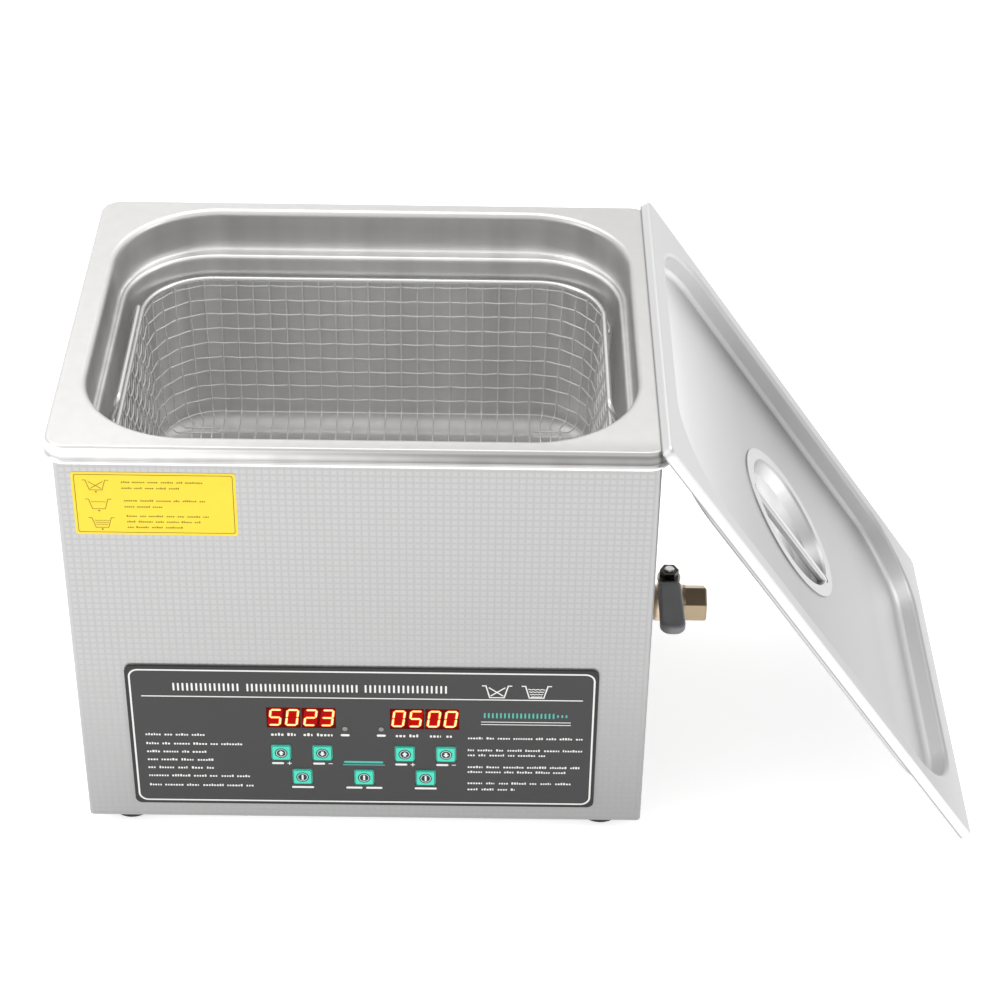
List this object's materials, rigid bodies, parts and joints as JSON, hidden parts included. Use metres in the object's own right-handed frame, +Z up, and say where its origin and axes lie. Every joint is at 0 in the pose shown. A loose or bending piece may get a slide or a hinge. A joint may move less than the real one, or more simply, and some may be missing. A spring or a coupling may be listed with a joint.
{
  "type": "ultrasonic cleaner",
  "caption": "Benchtop heated ultrasonic cleaner: embossed steel case, deep tank with wire basket, charcoal key and display panel, side drain valve with lever, loose lid leaning at the side.",
  "frame": {"origin": "on the bench, under the centre of the case, in the plane of the feet's undersides", "axes": "+X to the operator's right, towards the drain valve; +Y to the back; +Z up"},
  "size_m": [0.5212, 0.2656, 0.2768],
  "materials": {
    "case_steel": "embossed satin stainless sheet",
    "tank_steel": "satin stainless, deep drawn",
    "lid_steel": "satin stainless, pressed",
    "polished_steel": "polished stainless",
    "wire_steel": "electropolished stainless wire",
    "mesh_steel": "woven stainless mesh",
    "fitting_steel": "turned steel",
    "screw_steel": "bright plated steel",
    "zinc_bracket": "zinc plated",
    "valve_brass": "forged brass, dull",
    "pipe_brass": "brass pipe fittings",
    "chrome_ball": "chromed ball",
    "copper": "copper electrode",
    "heatsink_aluminium": "aluminium",
    "board_green": "solder-masked glass-fibre board",
    "display_body": "display housing",
    "display_window": "dark red window with lit digits",
    "black_plastic": "black moulded plastic",
    "component_black": "electronic components",
    "rocker_plastic": "glossy black rocker",
    "panel_film": "charcoal printed overlay",
    "fuse_glass": "glass fuse",
    "heater_silicone": "silicone heating mat",
    "led_lens": "round lamp lens",
    "key_teal": "teal printed key",
    "sleeve_vinyl": "charcoal vinyl sleeve",
    "label_yellow": "yellow printed label",
    "piezo_ceramic": "piezoelectric ceramic ring",
    "ribbon_grey": "flat ribbon cable",
    "gasket_rubber": "black seal",
    "foot_rubber": "black rubber",
    "seat_plastic": "white PTFE"
  },
  "bodies": {
    "cleaner": {"base_plate": "case_steel", "base_screws": "screw_steel", "board_mounts": "zinc_bracket", "control_board": "board_green", "display_modules": "display_body", "display_windows": "display_window", "drain_elbow": "pipe_brass", "drain_fitting": "fitting_steel", "drain_locknut": "valve_brass", "electrode_tabs": "copper", "fan_frame": "black_plastic", "foot_screws": "screw_steel", "front_panel": "panel_film", "generator_board": "board_green", "generator_components": "component_black", "heater_pads": "heater_silicone", "heatsink": "heatsink_aluminium", "housing_shell": "case_steel", "indicator_lights": "led_lens", "notice_label": "label_yellow", "piezo_rings": "piezo_ceramic", "power_inlet": "black_plastic", "rear_panel": "case_steel", "rear_screws": "screw_steel", "ribbon_cable": "ribbon_grey", "rim_gasket": "gasket_rubber", "rubber_feet": "foot_rubber", "switch_frame": "black_plastic", "tact_switches": "component_black", "tank": "tank_steel", "temperature_sensor": "heatsink_aluminium", "transducer_back_masses": "fitting_steel", "transducer_bolts": "screw_steel", "transducer_front_masses": "heatsink_aluminium", "valve_body": "valve_brass", "valve_end_cap": "valve_brass", "valve_seats": "seat_plastic"},
    "lid": {"lid_panel": "lid_steel", "lid_handle_cup": "polished_steel", "lid_handle_bar": "polished_steel"},
    "basket": {"basket_mesh": "mesh_steel", "basket_rim": "wire_steel", "basket_handles": "wire_steel", "basket_skids": "wire_steel"},
    "valve_handle": {"valve_ball": "chrome_ball", "valve_stem": "screw_steel", "valve_lever": "screw_steel", "lever_sleeve": "sleeve_vinyl", "lever_nut": "screw_steel"},
    "rocker": {"power_rocker": "rocker_plastic"},
    "rotor": {"fan_rotor": "black_plastic"},
    "fuse_holder": {"fuse_drawer": "black_plastic", "fuse": "fuse_glass"},
    "key_frequency": {"key_frequency": "key_teal"},
    "key_heat_power": {"key_heat_power": "key_teal"},
    "key_temp_down": {"key_temp_down": "key_teal"},
    "key_temp_up": {"key_temp_up": "key_teal"},
    "key_time_down": {"key_time_down": "key_teal"},
    "key_time_up": {"key_time_up": "key_teal"},
    "key_timer_power": {"key_timer_power": "key_teal"}
  },
  "joints": [
    {"name": "lid_lift_off", "type": "slide", "parent": "cleaner", "child": "lid", "axis": [0.8201, 0, 0.5723], "range_m": [0, 0.25]},
    {"name": "basket_lift", "type": "slide", "parent": "cleaner", "child": "basket", "axis": [0, 0, 1], "range_m": [0, 0.16]},
    {"name": "drain_lever_turn", "type": "hinge", "parent": "cleaner", "child": "valve_handle", "pos_m": [0.18, 0, 0.0904], "axis": [0, 0, 1], "range_deg": [0, 90]},
    {"name": "power_rocker_tilt", "type": "hinge", "parent": "cleaner", "child": "rocker", "pos_m": [-0.052, 0.1226, 0.062], "axis": [1, 0, 0], "range_deg": [0, 14]},
    {"name": "fan_spin", "type": "hinge", "parent": "cleaner", "child": "rotor", "pos_m": [0.082, 0.1188, 0.052], "axis": [0, 1, 0], "continuous": true},
    {"name": "fuse_drawer_slide", "type": "slide", "parent": "cleaner", "child": "fuse_holder", "axis": [0, 1, 0], "range_m": [0, 0.02]},
    {"name": "key_frequency_press", "type": "slide", "parent": "cleaner", "child": "key_frequency", "axis": [0, 1, 0], "range_m": [0, 0.0008], "stiffness_N_per_m": 400},
    {"name": "key_heat_power_press", "type": "slide", "parent": "cleaner", "child": "key_heat_power", "axis": [0, 1, 0], "range_m": [0, 0.0008], "stiffness_N_per_m": 400},
    {"name": "key_temp_down_press", "type": "slide", "parent": "cleaner", "child": "key_temp_down", "axis": [0, 1, 0], "range_m": [0, 0.0008], "stiffness_N_per_m": 400},
    {"name": "key_temp_up_press", "type": "slide", "parent": "cleaner", "child": "key_temp_up", "axis": [0, 1, 0], "range_m": [0, 0.0008], "stiffness_N_per_m": 400},
    {"name": "key_time_down_press", "type": "slide", "parent": "cleaner", "child": "key_time_down", "axis": [0, 1, 0], "range_m": [0, 0.0008], "stiffness_N_per_m": 400},
    {"name": "key_time_up_press", "type": "slide", "parent": "cleaner", "child": "key_time_up", "axis": [0, 1, 0], "range_m": [0, 0.0008], "stiffness_N_per_m": 400},
    {"name": "key_timer_power_press", "type": "slide", "parent": "cleaner", "child": "key_timer_power", "axis": [0, 1, 0], "range_m": [0, 0.0008], "stiffness_N_per_m": 400}
  ]
}
